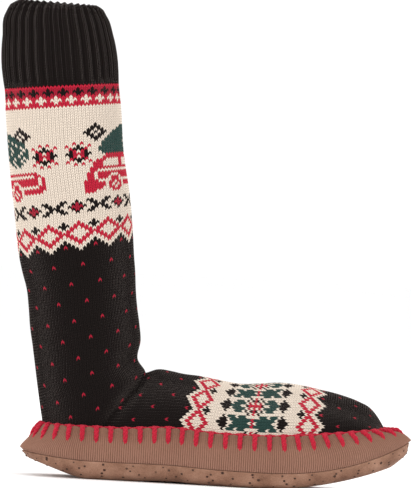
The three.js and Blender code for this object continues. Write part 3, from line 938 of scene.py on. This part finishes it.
def ankle_fold(points, other_share, power, size):
    """The fold where leg and foot meet: both dip towards it, and swell a little beside it."""
    away = (np.maximum(other_share(points.reshape(-1, 3), 0.0), 1e-6) ** (1 / power) - 1) * size
    away = away.reshape(points.shape[:-1])
    dip = -FOLD_DEPTH * np.exp(-((away / FOLD_WIDTH) ** 2))
    swell = FOLD_SWELL * np.exp(-((away / FOLD_WIDTH - FOLD_SWELL_AT) ** 2))
    side = FOLD_TOP_SHARE + (1 - FOLD_TOP_SHARE) * smooth_step(np.abs(points[..., 1]) / FOLD_SIDE_START)
    return (dip + swell) * side * smooth_step((points[..., 0] - FOLD_START) / FOLD_BLEND)


def leg_sheet(first, last):
    """The leg's stitches from one course to another, with the slant and the relief of each loop."""
    columns = np.arange(STITCHES * STITCH_PARTS)
    place = COURSE * (np.arange(first, last + 1)[:, None] + np.tile(STITCH_SLANT, STITCHES)[None, :])
    turns = np.broadcast_to(columns / len(columns), place.shape)
    out = np.tile(STITCH_RELIEF, STITCHES)[None, :] + cuff_rib(place, turns)
    fold = ankle_fold(leg_points(place, turns, 0.0), foot_share, FOLD_FOOT_POWER, FOLD_FOOT_SIZE)
    return leg_points(place, turns, out + fold)


def above_hem(middles):
    """Which faces lie above the sock's hem, tucked in behind the sole's edge."""
    return middles[:, 2] > ring_height(sole_ring("edge"), middles[:, 0]) - SOCK_TUCK


def leg_keep(middles, inset):
    return above_hem(middles) & (foot_share(middles, inset) > 1)


leg_courses = int(course_places[-1] / COURSE) - 1
whole_leg_cloth = leg_cloth(leg_courses)
leg_across = np.arange(STITCHES * STITCH_PARTS + 1) / STITCH_PARTS
for name, first, last in (
    ("sock_leg_pattern", 0, PATTERN_COURSES),
    ("sock_leg_plain", PATTERN_COURSES, leg_courses),
):
    cloth = np.repeat(whole_leg_cloth[first:last], STITCH_PARTS, axis=1)
    leg_along = np.arange(first, last + 1.0)
    leg_grid = leg_sheet(first, last)
    leg_piece = knit_object(name, leg_grid, cloth, leg_across, leg_along, True, leg_keep, FOLD_OVERLAP)
    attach(leg_piece, "root")
    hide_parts("upper")


# Knitted sock: the foot
# The foot is knitted on from the leg, over the instep to a round toe. Its courses stand across the foot
# and lean towards the heel at the sole's edge.
FOOT_STITCH, FOOT_COURSE = 2.19, 1.57
# Each pair: x on the ridge, and how far the course there leans.
COURSE_LEAN = np.array([
    (2.0, -9.0),
    (40.0, -10.5),
    (80.0, -9.8),
    (113.0, -6.5),
    (146.0, -2.5),
    (196.0, 0.0),
])
SIDE_STITCHES, TUCK_STITCHES = 27, 3
INSTEP_X, INSTEP_SHIFT, INSTEP_GAP = 115.0, 8, 3
FOOT_DIAMOND_SHIFT = 4
TOE_NARROWS = 140.0
RIDGE_SAMPLES, SIDE_SAMPLES = 1200, 300
SIDE_ARC_SAMPLES, FOOT_ARC_SAMPLES = 61, 91
LEG_PLACE_SAMPLES = 400
FOLD_LEG_SIZE = 35.0

ridge_fine = np.linspace(FOOT_START, TOE_END, RIDGE_SAMPLES)
ridge_height = curve_through(FOOT_SECTIONS[:, 0], FOOT_SECTIONS[:, 1], ridge_fine)
ridge_length = path_lengths(np.stack([ridge_fine, ridge_height], axis=-1))
instep_course = int(np.interp(INSTEP_X, ridge_fine, ridge_length) / FOOT_COURSE)
foot_courses = int(ridge_length[-1] / FOOT_COURSE)


def leg_share(points, inset):
    """How far a point is through the leg's form: under 1 is inside."""
    places = np.linspace(0, course_places[-1], LEG_PLACE_SAMPLES)
    course = curve_through(course_places, course_rows, places)
    back, reach = course[:, 0:2], course[:, 2:4] - course[:, 0:2]
    share = np.empty(len(points))
    for n, (x, y, z) in enumerate(points):
        side = reach[:, 0] * (z - back[:, 1]) - reach[:, 1] * (x - back[:, 0])
        row = course[min(np.searchsorted(side, 0.0), len(course) - 1)]
        depth = np.hypot(row[2] - row[0], row[3] - row[1]) / 2
        along = ((x - row[0]) * (row[2] - row[0]) + (z - row[1]) * (row[3] - row[1])) / (2 * depth) - depth
        share[n] = abs(along / (depth - inset)) ** LEG_POWER + abs(y / (row[4] - inset)) ** LEG_POWER
    return share


def side_lengths(x):
    """How long the foot's side is, from the sole's edge up to the ridge."""
    half, low, top, power = foot_section(x)
    angles = np.linspace(0, np.pi / 2, SIDE_ARC_SAMPLES)[:, None]
    across, up = half * np.cos(angles) ** (2 / power), (top - low) * np.sin(angles) ** (2 / power)
    return np.hypot(np.diff(across, axis=0), np.diff(up, axis=0)).sum(axis=0)


side_fine = np.linspace(FOOT_START, TOE_END, SIDE_SAMPLES)
side_length = side_lengths(side_fine)


def foot_points(course, stitch, out, inset=0.0):
    """Points of the foot: courses count from the ankle to the toe, stitches from the ridge to each side.

    Stitches keep their width from the near edge up, and narrow together at the toe.
    """
    ridge = np.interp(course * FOOT_COURSE, ridge_length, ridge_fine)
    lean = curve_through(COURSE_LEAN[:, 0], COURSE_LEAN[:, 1:], ridge)[..., 0]

    def share_at(x):
        width = FOOT_STITCH / np.interp(np.minimum(x, TOE_NARROWS), side_fine, side_length)
        return (stitch + SIDE_STITCHES) * width - 1

    x = ridge + lean * smooth_step(np.abs(share_at(ridge)))
    x = np.clip(x, FOOT_START, TOE_END)
    side, share = np.sign(share_at(x)), np.abs(share_at(x))
    half, low, top, power = foot_section(x, inset)
    angles = np.linspace(0, np.pi / 2, FOOT_ARC_SAMPLES)
    angle = np.empty(x.shape)
    middle = x.shape[1] // 2
    for row in range(x.shape[0]):
        across = half[row, middle] * np.cos(angles) ** (2 / power[row, middle])
        up = (top[row, middle] - low[row, middle]) * np.sin(angles) ** (2 / power[row, middle])
        length = path_lengths(np.stack([across, up], axis=-1))
        angle[row] = np.interp((1 - np.clip(share[row], 0, 1)) * length[-1], length, angles)
    across, up = np.cos(angle) ** (2 / power), np.sin(angle) ** (2 / power)
    drop = np.maximum(share - 1, 0) * np.interp(x, side_fine, side_length)
    y = side * (half + out * np.cos(angle)) * np.clip(across, 0, 1)
    z = low + (top - low) * up + out * np.sin(angle) - drop
    return np.stack([x, y, z], axis=-1)


def foot_keep(middles, inset):
    return above_hem(middles) & (leg_share(middles, inset) > 1)


def foot_cloth(courses, stitches):
    """The instep's band and a row of diamonds to each side of it, then single red stitches on black."""
    cloth = np.full((courses, len(stitches)), BLACK)
    instep, diamond = letters(INSTEP_CHART), letters(DIAMOND_CHART)
    first_diamond = len(instep) + INSTEP_GAP
    diamond_stitches = stitches + FOOT_DIAMOND_SHIFT
    for row in range(courses):
        away = abs(row - instep_course)
        dot_row, between = divmod(away - first_diamond - DIAMOND_DOT_ROW, DOT_COURSES)
        if away < len(instep):
            cloth[row] = instep[away, (stitches + INSTEP_SHIFT) % instep.shape[1]]
        elif away < first_diamond:
            cloth[row] = CREAM
        elif away < first_diamond + len(diamond):
            cloth[row] = diamond[away - first_diamond, diamond_stitches % diamond.shape[1]]
        elif between == 0:
            place = (diamond_stitches + (dot_row % 2) * DOT_STITCHES // 2) % DOT_STITCHES
            cloth[row, place == 0] = SHADED_RED
    return cloth


foot_half = SIDE_STITCHES + TUCK_STITCHES
foot_stitches = np.arange(-foot_half, foot_half + 1)
foot_columns = np.arange(len(foot_stitches) * STITCH_PARTS + 1)
foot_slant = np.resize(STITCH_SLANT, len(foot_columns))
foot_relief = np.resize(STITCH_RELIEF, len(foot_columns))
foot_course_grid = np.clip(np.arange(foot_courses + 1)[:, None] + foot_slant[None, :], 0, foot_courses)
foot_stitch_grid = np.broadcast_to(foot_columns / STITCH_PARTS - foot_half - 0.5, foot_course_grid.shape)
foot_plain = foot_points(foot_course_grid, foot_stitch_grid, 0.0)
foot_fold = ankle_fold(foot_plain, leg_share, LEG_POWER, FOLD_LEG_SIZE)
foot = knit_object(
    "sock_foot",
    foot_points(foot_course_grid, foot_stitch_grid, foot_relief + foot_fold),
    np.repeat(foot_cloth(foot_courses, foot_stitches), STITCH_PARTS, axis=1),
    foot_columns / STITCH_PARTS,
    np.arange(foot_courses + 1.0),
    False,
    foot_keep,
    FOLD_OVERLAP,
)
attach(foot, "root")
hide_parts("upper")


# Knitted sock: the ribbed cuff
# Two-by-one rib above the leg, knitted on in black. Its top is rolled over to the inside, and the rib's
# ridges stand up along the roll.
KNIT_THICK = 2.2
CUFF_STITCHES = 108
CUFF_INSIDE, CUFF_INSIDE_STEP = 34.0, 2.0
CUFF_ROLL_ROWS, CUFF_ROLL_RISE = 7, 0.6
CUFF_SLANT_FADE, CUFF_ROLL_GAP = 4.0, 0.3
RIM_BUMP, RIM_BUMP_DEPTH, RIM_BUMP_POWER = 1.5, 7.0, 0.8


def rim_bump(place, turns):
    """The rib's ridges stand up a little at the cuff's top."""
    ridge = (0.5 + 0.5 * np.cos(2 * np.pi * CUFF_RIBS * turns)) ** RIM_BUMP_POWER
    return RIM_BUMP * ridge * smooth_step(1 - (place - course_places[0]) / RIM_BUMP_DEPTH)


cuff_top = course_places[0]
cuff_columns = CUFF_STITCHES * STITCH_PARTS
cuff_turns = (np.arange(cuff_columns) / cuff_columns)[None, :]
cuff_slant = COURSE * np.tile(STITCH_SLANT, CUFF_STITCHES)[None, :]
cuff_relief = np.tile(STITCH_RELIEF, CUFF_STITCHES)[None, :]
cuff_rows = []
for place in np.arange(cuff_top + CUFF_INSIDE, cuff_top, -CUFF_INSIDE_STEP):
    cuff_rows.append(leg_points(np.full(cuff_turns.shape, place), cuff_turns, -KNIT_THICK))
top_place = np.full(cuff_turns.shape, cuff_top)
for step in np.linspace(np.pi, 0, CUFF_ROLL_ROWS):
    outward = 0.5 + 0.5 * math.cos(step)
    rib = cuff_rib(top_place, cuff_turns) * outward - KNIT_THICK * (1 - outward)
    bump = rim_bump(cuff_top, cuff_turns) * outward + CUFF_ROLL_RISE * math.sin(step)
    cuff_rows.append(leg_points(top_place, cuff_turns, rib, lift=bump))
outer_rows = -COURSE * np.arange(math.ceil(-cuff_top / COURSE))[::-1, None]
outer_places = outer_rows + cuff_slant * smooth_step((outer_rows - cuff_top) / CUFF_SLANT_FADE)
outer_places = np.maximum(outer_places, cuff_top + CUFF_ROLL_GAP)
outer_turns = np.broadcast_to(cuff_turns, outer_places.shape)
outer_relief = cuff_relief + cuff_rib(outer_places, outer_turns)
outer_bump = rim_bump(outer_places, outer_turns)
cuff_rows.append(leg_points(outer_places, outer_turns, outer_relief, lift=outer_bump))
cuff_grid = np.concatenate(cuff_rows)
cuff_across = np.arange(cuff_columns + 1) / STITCH_PARTS
cuff_along = np.arange(float(len(cuff_grid)))
cuff = knit_object("sock_cuff", cuff_grid, BLACK, cuff_across, cuff_along, True)
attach(cuff, "root")
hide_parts("upper")


# Sock lining
# The inner face of the knit, where the yarns float loose, in the leg and in the foot.
# It is seen only down the collar.
LINING_COLUMNS = 96
LINING_STEP, LINING_LAP = 3.0, 2.0
FOOT_LINING_ROWS, FOOT_LINING_COLUMNS = 64, 45

lining_places = np.arange(cuff_top + CUFF_INSIDE - LINING_LAP, course_places[-1], LINING_STEP)
lining_turns = (np.arange(LINING_COLUMNS) / LINING_COLUMNS)[::-1]
place_grid, turn_grid = np.meshgrid(lining_places, lining_turns, indexing="ij")
lining = knit_object(
    "sock_leg_lining",
    leg_points(place_grid, turn_grid, -KNIT_THICK),
    BLACK,
    np.arange(LINING_COLUMNS + 1) * STITCHES / LINING_COLUMNS,
    np.arange(len(lining_places)) * LINING_STEP / COURSE,
    True,
    leg_keep,
    KNIT_THICK,
)
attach(lining, "root")
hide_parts("upper")

inner_courses = np.linspace(0, foot_courses, FOOT_LINING_ROWS)
inner_stitches = np.linspace(foot_half, -foot_half, FOOT_LINING_COLUMNS)
inner_course_grid, inner_stitch_grid = np.meshgrid(inner_courses, inner_stitches, indexing="ij")
foot_lining = knit_object(
    "sock_foot_lining",
    foot_points(inner_course_grid, inner_stitch_grid, 0.0, inset=KNIT_THICK),
    BLACK,
    inner_stitches,
    inner_courses,
    False,
    foot_keep,
    KNIT_THICK,
)
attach(foot_lining, "root")
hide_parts("upper")


# Blanket stitch
# Thick red yarn sews the sock into the wall. Each stitch comes out of the wall's side, runs up over the lip
# and is caught by the yarn that lies along the edge.
YARN_PLIES, PLY_SIDES = 3, 8
BAR_PLY, BAR_SPREAD = 1.0, 0.8
BAR_TAPER, TAPER_POWER = 0.15, 3.0
EDGE_PLY, EDGE_SPREAD = 0.6, 0.55
YARN_TWIST = 8.0
YARN_STEP = 0.6
# Places on the wall's section, as its knots are counted.
BAR_LIP, BAR_START, BAR_END = 1.5, 0.7, 3.3
BAR_POINTS, BAR_SAMPLES = 11, 3001
BAR_STEP_ROUND, BAR_STEP_DOWN = 0.0005, 0.05
BAR_HEIGHT = 0.7
BAR_TOP_SINK, BAR_TOP_SHARE = 0.6, 0.15
BAR_END_SINK, BAR_END_SHARE = 2.2, 0.2
EDGE_POINTS = 8
EDGE_OUTSET, EDGE_LIFT, EDGE_WAVE = 0.4, 0.35, 0.35
RED_YARN_TONES = ((0.3, (0.27, 0.008, 0.02)), (0.7, (0.54, 0.02, 0.046)))


def yarn_material():
    material, tree, shader = start_material("red_yarn", roughness=0.9, sheen=0.08)
    place = add_node(tree, "ShaderNodeTexCoord").outputs["Object"]
    fibre = noise_node(tree, place, scale=1600.0, detail=4.0)
    tree.links.new(colour_ramp(tree, fibre, RED_YARN_TONES), shader.inputs["Base Color"])
    set_bump(tree, shader, fibre, strength=0.5, distance=0.0004)
    return material


def vector_node(tree, operation, inputs):
    return add_node(tree, "ShaderNodeVectorMath", inputs, operation=operation).outputs["Vector"]


def yarn_tree():
    tree, given = start_tree(
        "plied_yarn_tree",
        {
            "Ply Radius": "NodeSocketFloat",
            "Ply Offset": "NodeSocketFloat",
            "Twist Length": "NodeSocketFloat",
            "Step": "NodeSocketFloat",
            "Taper": "NodeSocketFloat",
            "Yarn": "NodeSocketMaterial",
        },
    )
    path = add_node(tree, "GeometryNodeMeshToCurve", {"Mesh": given["Geometry"]}).outputs["Curve"]
    fine = add_node(
        tree, "GeometryNodeResampleCurve", {"Curve": path, "Length": given["Step"]}, mode="LENGTH"
    ).outputs["Curve"]
    normal = add_node(tree, "GeometryNodeInputNormal").outputs["Normal"]
    tangent = add_node(tree, "GeometryNodeInputTangent").outputs["Tangent"]
    across = vector_node(tree, "CROSS_PRODUCT", {0: tangent, 1: normal})
    along = add_node(tree, "GeometryNodeSplineParameter").outputs
    turn = math_node(tree, "DIVIDE", along["Length"], given["Twist Length"])
    turn = math_node(tree, "MULTIPLY", turn, 2 * math.pi)
    thin = math_node(tree, "POWER", along["Factor"], TAPER_POWER)
    thin = math_node(tree, "MULTIPLY", thin, given["Taper"])
    thick = math_node(tree, "SUBTRACT", 1.0, thin)
    section = add_node(
        tree, "GeometryNodeCurvePrimitiveCircle", {"Resolution": PLY_SIDES, "Radius": given["Ply Radius"]}
    ).outputs["Curve"]
    plies = add_node(tree, "GeometryNodeJoinGeometry")
    for ply in range(YARN_PLIES):
        angle = math_node(tree, "ADD", turn, 2 * math.pi * ply / YARN_PLIES)
        parts = []
        for wave, way in (("COSINE", normal), ("SINE", across)):
            reach = math_node(tree, "MULTIPLY", math_node(tree, wave, angle), given["Ply Offset"])
            reach = math_node(tree, "MULTIPLY", reach, thick)
            parts.append(vector_node(tree, "SCALE", {0: way, "Scale": reach}))
        offset = vector_node(tree, "ADD", {0: parts[0], 1: parts[1]})
        moved = add_node(
            tree, "GeometryNodeSetPosition", {"Geometry": fine, "Offset": offset}
        ).outputs["Geometry"]
        tube = add_node(
            tree,
            "GeometryNodeCurveToMesh",
            {"Curve": moved, "Profile Curve": section, "Scale": thick, "Fill Caps": True},
        )
        tree.links.new(tube.outputs["Mesh"], plies.inputs["Geometry"])
    end_tree(tree, plies.outputs["Geometry"], given["Yarn"])
    return tree


def bar_paths():
    """The way each stitch takes, from the lip down the wall's side and back into the wall."""
    shares = (np.arange(STITCH_COUNT) + 0.5) / STITCH_COUNT
    turns = even_turns(sole_ring("edge", -RIB_KNIT_THICK), shares)
    lip = wall_outer(turns, np.array([BAR_LIP]))[0]
    fine = even_turns(sole_ring("bulge"), np.linspace(0, 1, BAR_SAMPLES)[:-1])
    low_line = wall_outer(fine, np.array([BAR_END]))[0]
    low_turns = fine[np.linalg.norm(lip[:, None, :] - low_line[None, :, :], axis=2).argmin(axis=1)]
    low_turns = np.where(low_turns - turns > 0.5, low_turns - 1, low_turns)
    paths = []
    for top_turn, low_turn in zip(turns, low_turns):
        path = []
        for along in np.linspace(0, 1, BAR_POINTS):
            turn = top_turn + (low_turn - top_turn) * along
            place = BAR_START + (BAR_END - BAR_START) * along
            near_turns = np.array([turn, turn + BAR_STEP_ROUND])
            near = wall_outer(near_turns, np.array([place, place + BAR_STEP_DOWN]))
            out = np.cross(near[1, 0] - near[0, 0], near[0, 1] - near[0, 0])
            top_sink = BAR_TOP_SINK * max(0.0, 1 - along / BAR_TOP_SHARE)
            end_sink = BAR_END_SINK * max(0.0, 1 - (1 - along) / BAR_END_SHARE)
            path.append(near[0, 0] + out / np.linalg.norm(out) * (BAR_HEIGHT - top_sink - end_sink))
        paths.append(np.array(path))
    return paths


def edge_path():
    """The yarn along the edge. It lies high at each stitch and sinks behind the lip in between."""
    shares = np.linspace(0, 1, STITCH_COUNT * EDGE_POINTS + 1)
    turns = even_turns(sole_ring("edge", -RIB_KNIT_THICK), shares)
    wave = EDGE_WAVE * (1 - np.cos(2 * np.pi * STITCH_COUNT * shares))
    return [ring_loop(sole_ring("edge", -EDGE_OUTSET), turns, wave + EDGE_LIFT)]


yarn = yarn_material()
plied_yarn = yarn_tree()
for name, paths, ply, spread, taper in (
    ("blanket_stitch_bars", bar_paths(), BAR_PLY, BAR_SPREAD, BAR_TAPER),
    ("blanket_stitch_edge", edge_path(), EDGE_PLY, EDGE_SPREAD, 0.0),
):
    corners = np.concatenate(paths) * MM
    ends = np.cumsum([len(path) for path in paths])
    joins = [(n, n + 1) for n in range(len(corners) - 1) if n + 1 not in ends]
    mesh = bpy.data.meshes.new(name)
    mesh.from_pydata(corners.tolist(), joins, [])
    stitching = bpy.data.objects.new(name, mesh)
    bpy.context.scene.collection.objects.link(stitching)
    yarn_sizes = {
        "Ply Radius": ply * MM,
        "Ply Offset": spread * MM,
        "Twist Length": YARN_TWIST * MM,
        "Step": YARN_STEP * MM,
        "Taper": taper,
        "Yarn": yarn,
    }
    grow(stitching, plied_yarn, yarn_sizes)
    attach(stitching, "root")
    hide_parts("blanket_stitch")


# Floor, light and camera
# A plain pale floor under soft light from the front, the sides and above. The camera looks straight at the
# side of the shoe from a long way off, rolled by the shoe's tilt.
FLOOR_REACH = 12.0
FLOOR_TONES = ((0.3, (0.96, 0.96, 0.96)), (0.7, (0.97, 0.97, 0.97)))
SKY_STRENGTH = 1.04
# Each light: its place and size in metres, and its power in watts.
LIGHTS = (
    ("left_softbox", (-1.5, -1.1, 0.9), 1.2, 13.0),
    ("front_softbox", (0.0, -1.9, 1.0), 1.4, 5.0),
    ("right_softbox", (1.6, -0.3, 0.9), 1.2, 6.0),
    ("top_softbox", (0.1, 0.2, 1.9), 1.6, 7.0),
    ("back_softbox", (-0.3, 1.7, 1.2), 1.4, 6.0),
)
LIGHT_AIM = (0.05, 0.0, 0.14)
VIEW_MIDDLE = (72.6, 157.0)
VIEW_HEIGHT = 320.2
VIEW_ROLL = 3.0
CAMERA_DISTANCE = 5.0
CAMERA_RISE = 0.4
SENSOR = 36.0


def floor_material():
    material, tree, shader = start_material("pale_floor", roughness=0.9)
    place = add_node(tree, "ShaderNodeTexCoord").outputs["Object"]
    grain = noise_node(tree, place, scale=3.0, detail=2.0)
    tree.links.new(colour_ramp(tree, grain, FLOOR_TONES), shader.inputs["Base Color"])
    return material


floor_points = np.array([(-1, -1, 0), (1, -1, 0), (1, 1, 0), (-1, 1, 0)]) * FLOOR_REACH / MM
floor = add_object("floor", floor_points, np.array([[0, 1, 2, 3]]), floor_material())

world = bpy.data.worlds.new("studio")
bpy.context.scene.world = world
world.use_nodes = True
sky = world.node_tree.nodes["Background"]
sky.inputs["Color"].default_value = (1, 1, 1, 1)
sky.inputs["Strength"].default_value = SKY_STRENGTH

for name, spot, size, watts in LIGHTS:
    lamp = bpy.data.lights.new(name, "AREA")
    lamp.size = size
    lamp.energy = watts
    holder = bpy.data.objects.new(name, lamp)
    holder.location = spot
    holder.rotation_euler = (Vector(LIGHT_AIM) - Vector(spot)).to_track_quat("-Z", "Y").to_euler()
    bpy.context.scene.collection.objects.link(holder)

camera_data = bpy.data.cameras.new("camera")
camera_data.sensor_width = SENSOR
camera_data.lens = SENSOR * CAMERA_DISTANCE / (VIEW_HEIGHT * MM)
camera = bpy.data.objects.new("camera", camera_data)
bpy.context.scene.collection.objects.link(camera)
middle = Vector((VIEW_MIDDLE[0] * MM, 0.0, VIEW_MIDDLE[1] * MM))
rise = math.radians(CAMERA_RISE)
back = Vector((0.0, -math.cos(rise), math.sin(rise)))
camera.location = middle + back * CAMERA_DISTANCE
roll = Matrix.Rotation(math.radians(VIEW_ROLL), 4, back)
camera.rotation_mode = "QUATERNION"
camera.rotation_quaternion = (roll @ (-back).to_track_quat("-Z", "Y").to_matrix().to_4x4()).to_quaternion()
bpy.context.scene.camera = camera
bpy.context.scene.view_settings.view_transform = "Standard"
